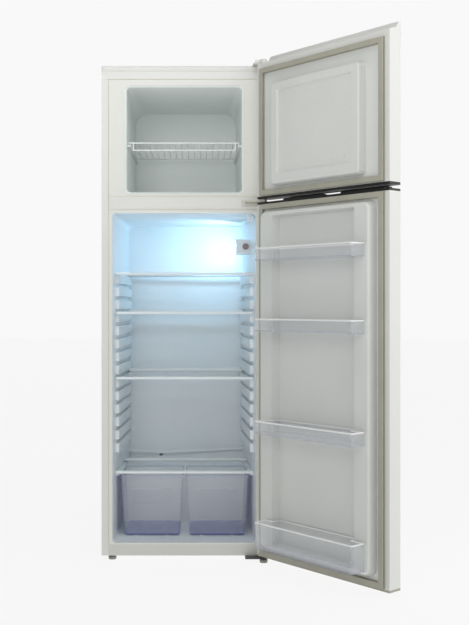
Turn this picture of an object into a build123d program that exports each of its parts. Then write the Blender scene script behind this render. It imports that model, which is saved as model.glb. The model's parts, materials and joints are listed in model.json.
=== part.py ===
"""Top freezer refrigerator, both doors standing open.

Millimetres. +Z is up, the doors face -Y and hang on the +X side. The origin is on the floor, under the
middle of the cabinet. Doors and what they carry are drawn shut and then swung open about the hinge line.
"""

import os
from math import ceil, floor

from build123d import *

# ---------------------------------------------------------------- driving dimensions
# Cabinet
width = 545.0
body_depth = 510.0
body_height = 1616.0
foot_height = 15.0
sheet = 1.0  # folded steel of the shell, pan and door skins
liner_wall = 2.0  # vacuum-formed plastic
cover_height = 18.0  # plastic top cover
side_flange = 22.0  # steel return beside the openings
top_flange = 26.0  # steel return above the freezer

# Compartments
freezer_header = 70.0  # cabinet top to freezer ceiling
freezer_height = 347.0
freezer_half_width = 191.0
freezer_draft = 4.0  # each side wall leans in by this over its depth
mullion_height = 69.0  # fridge ceiling to freezer floor
fridge_sill = 42.0  # cabinet bottom to fridge floor
fridge_side_wall = 35.5  # insulation and flange beside the fridge opening
fridge_draft = 23.0
fridge_ceiling_fall = 10.0
rear_insulation = 60.0
freezer_rear_insulation = 70.0
opening_radius = 12.0
freezer_flare = 6.0  # bell mouth round the freezer opening
corner_radius = 25.0
freezer_rear_radius = 45.0
seam = 1.2  # gap between neighbouring panels of the front

# Machine space at the bottom rear
niche_depth = 170.0
niche_height = 205.0
hump_insulation = 35.0
hump_radius = 15.0

# Shelves and crispers
shelf_setback = 60.0  # cabinet front to shelf front
shelf_side_gap = 2.0  # shelf trim to liner wall
top_shelf_drop = 200.0  # fridge ceiling to top shelf
shelf_steps = (0, 3, 8)  # ribs below the top one on which the three shelves sit
rib_pitch = 44.0
rib_height = 30.0
rib_reach = 11.0  # how far a rib stands off the side wall
glass = 4.0
shelf_rest = 0.3  # clearance under what slides
trim_depth = 18.0
trim_proud = 2.0  # trim above and below the pane
crisper_height = 203.0
crisper_gap = 6.0
crisper_wall = 2.5
crisper_lean = 12.0
crisper_setback = 93.0
crisper_side_gap = 17.5  # crisper rim to the liner wall at the front opening
crisper_rim = 1.5
runner_height = 3.0
handle_width = 130.0
handle_height = 46.0
handle_drop = 49.0
handle_depth = 16.0
freezer_shelf_lift = 168.0  # freezer floor to the wire shelf
wire = 2.5  # radius of the frame wire
cross_wire = 1.5
cross_pitch = 23.0

# Doors
door_gap = 12.0  # cabinet front to the doors' inner face, closed by the gasket
door_thickness = 55.0
door_corner = 10.0
door_split = 12.0  # between the two doors
split_drop = 32.0  # freezer floor down to the middle of the split
door_bottom = 22.0
door_top_drop = 1.5  # cabinet top down to the freezer door's inner top edge
lip_height = 30.0
lip_hinge_inset = 18.0
shoulder_hinge_inset = 50.0
cap = 7.0
top_cap = 19.0
skin_flange = 18.0
gasket_outer = 16.0
gasket_width = 18.0
gasket_end = 1.0  # end cap to the gasket
gasket_relief = 0.3
dike_height = 33.0
pan_height = 4.0
dike_hinge_inset = 40.0
dike_free_inset = 45.5
dike_top_inset = 31.5
dike_bottom_inset = 38.0
dike_draft = 6.0
plug_draft = 4.0
dike_radius = 22.0
dike_round = 6.0
pocket_hinge_inset = 100.0
pocket_free_inset = 103.0
pocket_top_inset = 49.0
pocket_bottom_inset = 54.0
pocket_radius = 8.0
plug_side_inset = 86.0
plug_bottom_inset = 34.0
plug_top_inset = 77.5
plug_height = 30.0
plug_radius = 12.0
recess_radius = 6.0
recess_side_inset = 117.0
recess_end_inset = 69.0
recess_top_inset = 104.5
recess_depth = 5.0
dimples = 6  # rows and columns
dimple_radius = 3.0
dimple_height = 1.4

# Door bins
bin_reach = 90.0  # inner face of the door to the bin's front
bin_wall = 2.5
bin_height = 40.0
bottom_bin_height = 83.0
bin_drops = (154.0, 377.0, 698.0)  # fridge door top to each upper bin's rim
bottom_bin_lift = 54.0  # fridge door bottom to the lowest bin's floor
bin_hinge_inset = 77.0
bin_free_inset = 64.0
bin_rear_gap = 8.0  # dike to the bin's narrow rear part
lug = 3.2
lug_reach = 2.3
boss_width = 14.0
boss_height = 20.0

# Hinges
pivot_inset = 12.0  # door side to the pin
pivot_reach = 28.0  # cabinet front to the pin
open_angle = 130.0
pin_radius = 4.0
pin_clearance = 0.05
pin_length = 20.0
bush_radius = 9.0
bush_depth = 24.0
hinge_plate = 4.0
hinge_width = 72.0
top_hinge_width = 46.0
hinge_cover_width = 40.0
hinge_cover_height = 14.0
bracket_tab = 3.0

# Feet and rollers
foot_radius = 13.0
stud_radius = 4.0
thread_clearance = 0.08
foot_disc = 9.0
foot_inset = 34.5
foot_setback = 18.0
roller_radius = 14.0
roller_width = 14.0
axle_radius = 3.0
roller_inset = 40.0
roller_setback = 34.0

# Cooling circuit
can_radius = 72.0
can_height = 128.0
compressor_x = -93.0
grommet_height = 12.0
plate_low = 20.0
plate_thickness = 2.5
tube_radius = 2.5
condenser_runs = 12
condenser_pitch = 80.0
condenser_gap = 17.0  # rear panel to the tube's centre
condenser_wires = 20
condenser_margin = 40.0
condenser_lift = 60.0
grid_wire = 1.6
evaporator = 1.5
drain_radius = 8.0
drain_bore = 6.0
gutter_depth = 14.0
gutter_lift = 27.0  # above the hump
gutter_fall = 16.0

# Lamp, thermostat and door switch
lamp_drop = 74.0  # fridge ceiling to the housing's top
lamp_height = 50.0
lamp_length = 80.0
lamp_setback = 195.0
lamp_reach = 44.0
lens = 2.5
dial_radius = 11.0
dial_length = 8.0
dial_shaft = 3.0
plunger_side = 7.0
plunger_fit = 0.25
switch_half_width = 7.0
switch_inset = 54.0
switch_drop = 15.0

# ---------------------------------------------------------------- derived places
half = width / 2
front = -body_depth / 2
back = body_depth / 2
body_low = foot_height
body_high = foot_height + body_height
shell_high = body_high - cover_height
flange_half = half - side_flange

freezer_ceiling = body_high - freezer_header
freezer_floor = freezer_ceiling - freezer_height
fridge_ceiling = freezer_floor - mullion_height
fridge_floor = body_low + fridge_sill
mullion_low = fridge_ceiling + 13.0
mullion_high = freezer_floor - 14.0
rail_high = fridge_floor - 5.0
freezer_back = back - freezer_rear_insulation
fridge_back = back - rear_insulation
fridge_half = half - fridge_side_wall
niche_front = back - niche_depth
niche_high = body_low + niche_height
hump_front = niche_front - hump_insulation
hump_high = niche_high + hump_insulation + 5.0

shelf_front = front + shelf_setback
shelf_back = fridge_back - 45.0
rear_half = fridge_half - fridge_draft


def fridge_half_at(y):
    """Half width of the fridge compartment at one depth."""
    return fridge_half - fridge_draft * (y - front) / (fridge_back - front)


trim_half = fridge_half_at(shelf_front + trim_depth) - shelf_side_gap
top_shelf = fridge_ceiling - top_shelf_drop
crisper_low = fridge_floor + runner_height + shelf_rest
crisper_high = crisper_low + crisper_height
crisper_cover = crisper_high + 13.0
crisper_front = front + crisper_setback
crisper_back = hump_front - 8.0
crisper_outer = fridge_half - crisper_side_gap - crisper_rim

pivot_x = half - pivot_inset
pivot_y = front - pivot_reach
inner_face = front - door_gap
outer_face = inner_face - door_thickness
split_middle = freezer_floor - split_drop
fridge_door_high = split_middle - door_split / 2
freezer_door_low = split_middle + door_split / 2
freezer_door_high = body_high - door_top_drop


# ---------------------------------------------------------------- helpers
def block(x0, x1, y0, y1, z0, z1):
    """Box between two corners."""
    return Pos((x0 + x1) / 2, (y0 + y1) / 2, (z0 + z1) / 2) * Box(x1 - x0, y1 - y0, z1 - z0)


def rod(x, y, z, radius, length, axis="Z"):
    """Cylinder that starts at a point and runs along +X, +Y or +Z."""
    turn = {"X": Rot(0, 90, 0), "Y": Rot(-90, 0, 0), "Z": Rot(0, 0, 0)}[axis]
    base = (Align.CENTER, Align.CENTER, Align.MIN)
    return Pos(x, y, z) * turn * Cylinder(radius, length, align=base)


def upright(y, x0, x1, z0, z1, radius):
    """Rounded rectangle that faces the front, at one depth."""
    centre = ((x0 + x1) / 2, y, (z0 + z1) / 2)
    plane = Plane(origin=centre, x_dir=(1, 0, 0), z_dir=(0, -1, 0))
    return plane * RectangleRounded(x1 - x0, z1 - z0, radius)


def level(z, x0, x1, y0, y1, radius):
    """Rounded rectangle that lies flat, at one height."""
    return Pos((x0 + x1) / 2, (y0 + y1) / 2, z) * RectangleRounded(x1 - x0, y1 - y0, radius)


def between(first, second):
    """Straight-sided solid between two faces."""
    return loft([first, second], ruled=True)


def swing_open(shape):
    """A door part drawn shut, swung open about the hinge line."""
    return shape.rotate(Axis((pivot_x, pivot_y, 0), (0, 0, 1)), open_angle)


parts = {}


def group(*solids):
    """Separate solids in one node."""
    return Compound(children=list(solids))


# ---------------------------------------------------------------- compartments
def freezer_space(grow=0.0):
    """The freezer compartment, or its outside when grown by the liner's wall."""
    mouth = (-freezer_half_width - grow, freezer_half_width + grow)
    rear_half_width = freezer_half_width - freezer_draft
    rear = (-rear_half_width - grow, rear_half_width + grow)
    heights = (freezer_floor - grow, freezer_ceiling + grow)
    rear_heights = (freezer_floor - grow, freezer_ceiling - freezer_draft + grow)
    return between(
        upright(front, *mouth, *heights, opening_radius + grow),
        upright(freezer_back + grow, *rear, *rear_heights, freezer_rear_radius + grow),
    )


def freezer_mouth(grow=0.0):
    """Bell mouth round the freezer opening, or its outside when grown by the liner's wall."""

    def section(depth):
        spread = freezer_flare - depth + grow
        reach = freezer_half_width + spread
        heights = (freezer_floor - spread, freezer_ceiling + spread)
        return upright(front + depth, -reach, reach, *heights, opening_radius + spread)

    return between(section(0.0), section(2 * freezer_flare))


def hump(grow=0.0):
    """The step over the machine space, with a rounded front edge."""
    step = block(-half, half, hump_front + grow, back, 0, hump_high - grow)
    crest = step.edges().filter_by(Axis.X).sort_by_distance((0, hump_front, hump_high))[0]
    return fillet(crest, hump_radius - grow)


def fridge_space(grow=0.0):
    """The fridge compartment with the step taken out of its bottom rear corner."""
    mouth = (-fridge_half - grow, fridge_half + grow)
    rear = (-rear_half - grow, rear_half + grow)
    heights = (fridge_floor - grow, fridge_ceiling + grow)
    rear_heights = (fridge_floor - grow, fridge_ceiling - fridge_ceiling_fall + grow)
    tub = between(
        upright(front, *mouth, *heights, opening_radius + grow),
        upright(fridge_back + grow, *rear, *rear_heights, corner_radius + grow),
    )
    return tub - hump(grow)


def shelf_ribs():
    """Broad bands along both side walls; a shelf slides in the groove above each of them."""
    count = floor((top_shelf - crisper_cover - 2 * rib_pitch) / rib_pitch) + 1
    count = max(count, shelf_steps[-1] + 1)
    levels = [(top_shelf - step * rib_pitch, rib_height, fridge_back - 15.0) for step in range(count)]
    levels.append((crisper_cover, crisper_cover - crisper_high - 2, hump_front))
    clear = fridge_space(-rib_reach)
    bars = []
    for z, height, rear in levels:
        for side in (-1, 1):
            x0, x1 = sorted((side * (rear_half - 2 * rib_reach), side * half))
            bars.append(block(x0, x1, shelf_front + trim_depth + 4, rear, z - height, z) - clear)
    return bars


def band(points, drop, y0, y1):
    """A strip that follows points in the XZ plane, this thick below them, between two depths."""
    outline = points + [(x, z - drop) for x, z in reversed(points)]
    plane = Plane(origin=(0, y0, 0), x_dir=(1, 0, 0), z_dir=(0, -1, 0))
    return extrude(plane * make_face(Polyline(*outline, close=True)), -(y1 - y0))


gutter_low = hump_high + gutter_lift
gutter_line = [
    (-rear_half - 5, gutter_low + gutter_fall),
    (compressor_x, gutter_low + 10),
    (rear_half + 5, gutter_low + gutter_fall + 10),
]


def drain_path():
    """Centre line of the drain: back through the wall, then down to the tray."""
    elbow = fridge_back + 22.0
    low = niche_high - 14.0
    return FilletPolyline(
        (compressor_x, fridge_back - 1, gutter_low - 6),
        (compressor_x, elbow, gutter_low - 6),
        (compressor_x, elbow, low),
        radius=16.0,
    )


def drain(radius):
    """Round bar along the drain's centre line."""
    path = drain_path()
    section = Plane(origin=path @ 0, z_dir=path % 0) * Circle(radius)
    return sweep(section, path=path)


def freezer_liner():
    edge = flange_half - seam
    top = shell_high - top_flange - seam
    plate = block(-edge, edge, front, front + liner_wall, mullion_high + seam, top)
    outside = plate + freezer_space(liner_wall) + freezer_mouth(liner_wall)
    return outside - freezer_space() - freezer_mouth() + freezer_ledges()


def freezer_ledges():
    """Two side rails that the wire shelf rides on."""
    z = freezer_floor + freezer_shelf_lift - wire - shelf_rest
    rails = []
    for side in (-1, 1):
        x0, x1 = sorted((side * (freezer_half_width - 12), side * half))
        rails.append(block(x0, x1, front + 50, freezer_back, z - 8, z))
    return (rails[0] + rails[1]) & freezer_space(liner_wall / 2)


def fridge_liner():
    edge = flange_half - seam
    plate = block(-edge, edge, front, front + liner_wall, rail_high, mullion_low - seam)
    shell = (plate + fridge_space(liner_wall)) - fridge_space()
    gutter = band(gutter_line, 12.0, fridge_back - gutter_depth, back)
    inside = fridge_space(liner_wall / 2)
    for bar in shelf_ribs():
        shell += bar & inside
    shell += gutter & inside
    shell -= band(gutter_line, 7.0, fridge_back - gutter_depth + 3, fridge_back - 3)
    runner_high = fridge_floor + runner_height
    for x0, x1 in crisper_sides:
        for share in (0.25, 0.75):
            x = x0 + share * (x1 - x0)
            runner = block(x - 4, x + 4, crisper_front, crisper_back, fridge_floor - 1, runner_high)
            shell += runner
    return shell - drain(drain_radius)


crisper_sides = [
    (-crisper_outer, -crisper_gap / 2 - crisper_rim),
    (crisper_gap / 2 + crisper_rim, crisper_outer),
]


# ---------------------------------------------------------------- cabinet
def outer_shell():
    shell = block(-half, half, front, back, body_low, shell_high)
    shell -= block(-half + sheet, half - sheet, front + sheet, back, body_low, shell_high - sheet)
    return shell - block(-flange_half, flange_half, front, front + sheet, body_low, shell_high - top_flange)


def top_cover():
    """Plastic lid with a skirt inside it that rests on the shell and leaves a seam."""
    skin = 3.0
    cover = block(-half, half, front, back, shell_high + seam, body_high)
    cover = fillet(cover.edges().filter_by(Axis.Z) + cover.faces().sort_by(Axis.Z)[-1].edges(), 4.0)
    rim = skin / 2
    cover += block(-half + rim, half - rim, front + rim, back - rim, shell_high, shell_high + seam + 1)
    return cover - block(-half + skin, half - skin, front + skin, back - skin, shell_high, body_high - skin)


def base_pan():
    """Front rail, floor, step and ceiling of the machine space, folded from one steel blank."""
    fold = 1.5
    rail_back = front + 40.0
    inner = half - sheet
    rail = block(-flange_half, flange_half, front, rail_back, body_low, rail_high)
    rail -= block(-flange_half, flange_half, front + fold, rail_back, body_low + fold, rail_high - fold)
    low_sheet = block(-flange_half, flange_half, rail_back - 1, niche_front, body_low, body_low + sheet)
    riser = block(-inner, inner, niche_front - sheet, niche_front, body_low, niche_high + sheet)
    roof = block(-inner, inner, niche_front - sheet, back - sheet, niche_high, niche_high + sheet)
    nut = rod(-half + foot_inset, front + foot_setback, body_low + sheet, 9, 15)
    pan = rail + low_sheet + riser + roof + nut
    pan -= rod(-half + foot_inset, front + foot_setback, 0, stud_radius + thread_clearance, 60)
    return pan - drain(drain_radius)


def cabinet_foam():
    inner = half - sheet
    foam = block(-inner, inner, front + liner_wall, back - sheet, body_low + sheet, shell_high - sheet)
    foam -= block(-inner, inner, front, front + 40, body_low, rail_high)
    foam -= block(-inner, inner, niche_front - sheet, back, 0, niche_high + sheet)
    foam -= freezer_space(liner_wall)
    foam -= freezer_mouth(liner_wall)
    foam -= fridge_space(liner_wall)
    foam -= freezer_plate()
    foam -= fridge_plate()
    return foam - drain(drain_radius)


def freezer_plate():
    """Cold plate on the rear of the freezer liner."""
    reach = freezer_half_width - 45
    y = freezer_back + liner_wall
    return block(-reach, reach, y, y + evaporator, freezer_floor + 45, freezer_ceiling - 45)


def fridge_plate():
    """Cold plate on the rear of the fridge liner."""
    reach = rear_half - 60
    y = fridge_back + liner_wall
    return block(-reach, reach, y, y + evaporator, top_shelf - 4 * rib_pitch, fridge_ceiling - 60)


def build_cabinet():
    inner = half - sheet
    parts["outer_shell"] = outer_shell()
    parts["top_cover"] = top_cover()
    parts["base_pan"] = base_pan()
    parts["cabinet_foam"] = cabinet_foam()
    parts["freezer_liner"] = freezer_liner()
    parts["fridge_liner"] = fridge_liner()
    parts["rear_panel"] = block(-inner, inner, back - sheet, back, niche_high + sheet, shell_high - sheet)
    parts["mullion_cover"] = block(
        -flange_half + seam, flange_half - seam, front, front + liner_wall, mullion_low, mullion_high
    )
    plugs = [rod(x, front - 2, split_middle - 2, 7, 2, "Y") for x in (33.5 - half, 69.5 - half)]
    parts["mullion_plugs"] = group(*plugs)
    parts["evaporator_plates"] = group(freezer_plate(), fridge_plate())


# ---------------------------------------------------------------- lamp, thermostat and switch
lamp_high = fridge_ceiling - lamp_drop
lamp_low = lamp_high - lamp_height
lamp_front = front + lamp_setback
lamp_back = lamp_front + lamp_length
lamp_left = fridge_half_at(lamp_back) - lamp_reach
dial_x = fridge_half_at(lamp_front) - 15.0
dial_z = (lamp_low + lamp_high) / 2


def build_lamp():
    wall = 2.0
    case = block(lamp_left, half, lamp_front, lamp_back, lamp_low, lamp_high)
    inside = (lamp_front + wall, lamp_back - wall, lamp_low + wall, lamp_high - wall)
    hollow = block(lamp_left, half, *inside)
    window = block(lamp_left, lamp_left + lens, *inside)
    room = fridge_space(-0.05)
    shaft = rod(dial_x, lamp_front - 1, dial_z, dial_shaft + pin_clearance, 6, "Y")
    parts["lamp_housing"] = (case - hollow - shaft) & room
    parts["lamp_lens"] = window
    bulb_y = (lamp_front + lamp_back) / 2 + 8
    bulb = Pos(lamp_left + 19, bulb_y, dial_z) * Sphere(11)
    neck = rod(lamp_left + 19, bulb_y + 6, dial_z, 6, lamp_back - wall - bulb_y - 6, "Y")
    parts["lamp_bulb"] = bulb + neck
    knob = rod(dial_x, lamp_front - dial_length, dial_z, dial_radius, dial_length - 0.3, "Y")
    grip = block(dial_x - 2, dial_x + 2, lamp_front - dial_length - 3, lamp_front - 2, dial_z - 9, dial_z + 9)
    stem = rod(dial_x, lamp_front - 2, dial_z, dial_shaft, 10, "Y")
    parts["thermostat_dial"] = knob + grip + stem


switch_x = half - switch_inset
switch_z = fridge_ceiling - switch_drop
plunger_tip = inner_face + dike_height + 1.5
switch_front = plunger_tip + 9.0


def build_switch():
    reach = switch_half_width
    x0, x1 = switch_x - reach, switch_x + reach
    case = block(x0, x1, switch_front, switch_front + 40, switch_z - reach, fridge_ceiling + 5)
    bore_half = plunger_side / 2 + plunger_fit
    bore = block(
        switch_x - bore_half, switch_x + bore_half, switch_front, switch_front + 36,
        switch_z - bore_half, switch_z + bore_half,
    )
    parts["switch_housing"] = (case - bore) & fridge_space(-0.05)
    side = plunger_side / 2
    parts["switch_plunger"] = block(
        switch_x - side, switch_x + side, plunger_tip, switch_front + 26, switch_z - side, switch_z + side
    )


# ---------------------------------------------------------------- shelves and crispers
def pane(z, y0, y1):
    """Glass cut to the taper of the side walls."""
    gap = shelf_side_gap
    outline = [(-fridge_half_at(y0) + gap, y0), (fridge_half_at(y0) - gap, y0)]
    outline += [(fridge_half_at(y1) - gap, y1), (-fridge_half_at(y1) + gap, y1)]
    return Pos(0, 0, z) * extrude(make_face(Polyline(*outline, close=True)), glass)


def shelf(name, z, rear):
    """Glass pane with a plastic trim along its front and rear edges, resting at one height."""
    low = z + shelf_rest
    high = low + glass + trim_proud
    sheet_of_glass = pane(low, shelf_front + 6, rear - 4)
    nose = block(-trim_half, trim_half, shelf_front, shelf_front + trim_depth, low - trim_proud, high)
    nose = fillet(nose.edges().filter_by(Axis.X).sort_by(Axis.Y)[:2], 2.5)
    heel_half = fridge_half_at(rear) - shelf_side_gap
    heel = block(-heel_half, heel_half, rear - 12, rear, low, high + 6)
    parts[name + "_glass"] = sheet_of_glass
    parts[name + "_trim"] = group(nose - sheet_of_glass, heel - sheet_of_glass)


def crisper(x0, x1):
    """Clear drawer with leaning sides, a rim and a moulded-in finger pull."""
    w = crisper_wall

    def tub(inset, low, high):
        floor_face = level(
            low, x0 + crisper_lean + inset, x1 - crisper_lean - inset,
            crisper_front + 4 + inset, crisper_back - 6 - inset, 14 - inset,
        )
        mouth = (x0 + inset, x1 - inset, crisper_front + inset, crisper_back - inset)
        return between(floor_face, level(high, *mouth, 12 - inset))

    body = tub(0, crisper_low, crisper_high)
    body = fillet(body.faces().sort_by(Axis.Z)[0].edges(), 7.0)
    rim = extrude(
        level(crisper_high - 4, x0 - crisper_rim, x1 + crisper_rim, crisper_front, crisper_back, 12), 4
    )
    x = (x0 + x1) / 2
    z1 = crisper_high - handle_drop
    z0 = z1 - handle_height
    pull = (x - handle_width / 2, x + handle_width / 2, z0, z1, 9)
    outside = (pull[0] - w, pull[1] + w, z0 - w, z1 + w, 9 + w)
    pull_back = crisper_front + 3 + handle_depth
    body = body + rim - tub(w, crisper_low + w, crisper_high)
    body += between(upright(crisper_front + 2.5, *outside), upright(pull_back + w, *outside))
    body -= between(upright(crisper_front - 5, *pull), upright(pull_back, *pull))
    for offset in (-43, 43):
        body += block(
            x + offset - 1.5, x + offset + 1.5, crisper_front + 8, crisper_back - 12,
            crisper_low + w - 0.5, crisper_low + w + 5,
        )
    return body


def freezer_shelf():
    """Welded wire shelf: frame, cross wires and a dropped front lip."""
    z = freezer_floor + freezer_shelf_lift
    reach = freezer_half_width - freezer_draft - wire - shelf_rest
    y0 = front + 38.0
    y1 = freezer_back - 40.0
    lip = 24.0
    grid = rod(-reach, y0, z, wire, 2 * reach, "X") + rod(-reach, y1, z, wire, 2 * reach, "X")
    grid += rod(-reach + 14, y0, z - lip, wire, 2 * reach - 28, "X")
    for side in (-1, 1):
        grid += rod(side * reach, y0, z, wire, y1 - y0, "Y")
        grid += rod(side * (reach - 14), y0, z - lip, wire, lip, "Z")
        for y in (y0, y1):
            grid += Pos(side * reach, y, z) * Sphere(wire)
        grid += Pos(side * (reach - 14), y0, z - lip) * Sphere(wire)
    count = ceil(2 * reach / cross_pitch) - 1
    pitch = 2 * reach / (count + 1)
    for index in range(count):
        x = -reach + pitch * (index + 1)
        grid += rod(x, y0, z + 1, cross_wire, y1 - y0, "Y")
    return grid


def build_inside():
    for number, step in enumerate(shelf_steps, start=1):
        shelf(f"shelf_{number}", top_shelf - step * rib_pitch, shelf_back)
    shelf("crisper_cover", crisper_cover, hump_front + 2)
    parts["crisper_left"] = crisper(*crisper_sides[0])
    parts["crisper_right"] = crisper(*crisper_sides[1])
    parts["freezer_shelf"] = freezer_shelf()


# ---------------------------------------------------------------- doors, drawn shut
def door_profile(inset):
    """Plan of a door, square at the inner face and rounded at the outer corners."""
    x = half - inset
    plan = Pos(0, (inner_face + outer_face) / 2) * Rectangle(2 * x, door_thickness - 2 * inset)
    corners = plan.vertices().sort_by(Axis.Y)[:2]
    return fillet(corners, door_corner - inset)


def door_slab(inset, z0, z1):
    """Upright prism on the door's plan."""
    return Pos(0, 0, z0) * extrude(door_profile(inset), z1 - z0)


def door_skin(z0, z1):
    skin = door_slab(0, z0, z1) - door_slab(sheet, z0, z1)
    edge = half - skin_flange
    return skin - block(-edge, edge, inner_face - sheet, inner_face, z0, z1)


def liner_plate(z0, z1):
    edge = half - skin_flange
    return block(-edge, edge, inner_face - liner_wall, inner_face, z0, z1)


def raised(insets, z_low, z_high, height, radius, lean, shrink):
    """Drafted block on the door's inner face; insets are hinge, free, bottom and top."""
    hinge, free, bottom, top = insets
    foot = (-half + free + shrink, half - hinge - shrink, z_low + bottom + shrink, z_high - top - shrink)
    head = (foot[0] + lean, foot[1] - lean, foot[2] + lean, foot[3] - lean)
    y1 = inner_face + height - shrink
    shape = between(upright(inner_face - liner_wall, *foot, radius), upright(y1, *head, radius))
    rim = shape.faces().sort_by(Axis.Y)[-1].edges()
    return fillet(rim, dike_round - shrink)


def pocket(insets, z_low, z_high, low, high, radius, lean, shrink):
    """Hollow that opens towards the cabinet, from one height above the inner face to another."""
    hinge, free, bottom, top = insets
    mouth = (-half + free - shrink, half - hinge + shrink, z_low + bottom - shrink, z_high - top + shrink)
    foot = (mouth[0] + lean, mouth[1] - lean, mouth[2] + lean, mouth[3] - lean)
    return between(
        upright(inner_face + low - shrink, *foot, radius), upright(inner_face + high + 2, *mouth, radius)
    )


def gasket(z0, z1, low_cap, high_cap):
    """Bellows ring with a wide base and a magnet head, just inside the end caps."""
    depth = door_gap - gasket_relief
    low, high = z0 + low_cap + gasket_end, z1 - high_cap - gasket_end
    layers = ((0.0, 3.0, 0.0), (3.0, 6.5, 3.5), (6.5, depth, 1.0))
    ring = None
    for y0, y1, inset in layers:
        outer = gasket_outer + inset
        inner = gasket_outer + gasket_width - inset
        across = gasket_width - inset
        near, far = inner_face + y0, inner_face + y1
        layer = block(-half + outer, half - outer, near, far, low + inset, high - inset)
        layer -= block(-half + inner, half - inner, near, far, low + across, high - across)
        ring = layer if ring is None else ring + layer
    return ring


def end_cap(z0, z1, bush_from, up):
    """Plastic end of a door, with the boss that holds the hinge pin."""
    boss_low = bush_from if up else bush_from - bush_depth
    slab = door_slab(0, z0, z1) + rod(pivot_x, pivot_y, boss_low, bush_radius, bush_depth)
    bore_low = bush_from - 1 if up else bush_from - pin_length - 1
    return slab - rod(pivot_x, pivot_y, bore_low, pin_radius + pin_clearance, pin_length + 2)


def freezer_top_cap():
    """Top cap with a lip along its outer edge that stops short of the hinge."""
    low = freezer_door_high - top_cap
    top = freezer_door_high + lip_height
    slab = end_cap(low, freezer_door_high, freezer_door_high, up=False)
    crest = [
        (outer_face + door_corner, low + 2),
        (outer_face + 1, low + 6),
        (outer_face, freezer_door_high - 2),
        (outer_face + 2, top - 4),
        (outer_face + 6, top),
        (outer_face + 13, top - 3),
        (outer_face + 24, freezer_door_high + 9),
        (outer_face + 24, freezer_door_high - 2),
    ]
    shoulder = [
        (outer_face + 20, freezer_door_high - 2),
        (outer_face + 20, freezer_door_high + 11),
        (inner_face - 5, freezer_door_high + 2),
        (inner_face - 4, freezer_door_high - 2),
    ]
    plane = Plane(origin=(-half + 2, 0, 0), x_dir=(0, 1, 0), z_dir=(1, 0, 0))
    for profile, inset in ((crest, lip_hinge_inset), (shoulder, shoulder_hinge_inset)):
        slab += extrude(plane * make_face(Polyline(*profile, close=True)), width - 2 - inset)
    return slab


def fridge_top_cap():
    """Top cap with two long raised pads, the finger grips between the doors."""
    slab = end_cap(fridge_door_high - cap, fridge_door_high, fridge_door_high, up=False)
    y = (inner_face + outer_face) / 2
    pad_height = door_split - 5.0
    for start, stop in ((100, 277), (343, 528)):
        plan = level(fridge_door_high - 1, half - stop, half - start, y - 17, y + 19, 16)
        pad = extrude(plan, pad_height + 1)
        slab += fillet(pad.faces().sort_by(Axis.Z)[-1].edges(), 4.0)
    return slab


def freezer_bottom_cap():
    """Bottom cap with a long finger recess under the outer edge."""
    slab = end_cap(freezer_door_low, freezer_door_low + cap, freezer_door_low, up=True)
    recess = level(freezer_door_low - 1, -half + 30, half - 110, outer_face + 6, outer_face + 24, 8)
    return slab - extrude(recess, cap - 1)


def fridge_door_pocket(shrink):
    """The shallow pan inside the fridge door's dike, grown by a shrink of the liner."""
    inner = (pocket_hinge_inset, pocket_free_inset, pocket_bottom_inset, pocket_top_inset)
    heights = (door_bottom, fridge_door_high, pan_height, dike_height)
    return pocket(inner, *heights, pocket_radius, dike_draft, shrink)


def fridge_door_liner(shrink):
    """Ring-shaped dike around a shallow pan."""
    outer = (dike_hinge_inset, dike_free_inset, dike_bottom_inset, dike_top_inset)
    ring = raised(outer, door_bottom, fridge_door_high, dike_height, dike_radius, dike_draft, shrink)
    return ring - fridge_door_pocket(shrink)


def freezer_door_liner(shrink):
    """Raised plug with a shallow sunk panel."""
    z0, z1 = freezer_door_low, freezer_door_high
    outer = (plug_side_inset, plug_side_inset, plug_bottom_inset, plug_top_inset)
    inner = (recess_side_inset, recess_side_inset, recess_end_inset, recess_top_inset)
    plug = raised(outer, z0, z1, plug_height, plug_radius, plug_draft, shrink)
    floor_height = plug_height - recess_depth
    return plug - pocket(inner, z0, z1, floor_height, plug_height, recess_radius, plug_draft, shrink)


def dimple_grid():
    """Small raised buttons in rows on the sunk panel of the freezer door."""
    y = inner_face + plug_height - recess_depth
    x_low, x_high = -half + recess_side_inset + 32, half - recess_side_inset - 32
    z_low, z_high = freezer_door_low + recess_end_inset + 22, freezer_door_high - recess_top_inset - 22
    buttons = []
    for column in range(dimples):
        x = x_low + (x_high - x_low) * column / (dimples - 1)
        for row in range(dimples):
            z = z_low + (z_high - z_low) * row / (dimples - 1)
            buttons.append(rod(x, y - 0.5, z, dimple_radius, dimple_height + 0.5, "Y"))
    return buttons


def bin_levels():
    """Floor, rim and rear floor heights of the four bins, top to bottom."""
    lows = [fridge_door_high - drop - bin_height for drop in bin_drops]
    spans = [(low, low + bin_height, low) for low in lows]
    low = door_bottom + bottom_bin_lift
    rear_low = door_bottom + pocket_bottom_inset + dike_draft + 4.0
    return spans + [(low, low + bottom_bin_height, rear_low)]


def bin_bosses():
    """Blocks on the dike's inner walls that the bins hang on."""
    y0 = inner_face + 12.0
    blocks = []
    for _, _, rear_low in bin_levels():
        for wall, reach in ((half - pocket_hinge_inset, -1), (-half + pocket_free_inset, 1)):
            x0, x1 = sorted((wall - reach * 3, wall + reach * (bin_rear_gap - 0.4)))
            boss = block(x0, x1, y0, y0 + boss_width, rear_low + 4, rear_low + 4 + boss_height)
            blocks.append(boss & fridge_door_pocket(liner_wall / 2))
    return blocks


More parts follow.
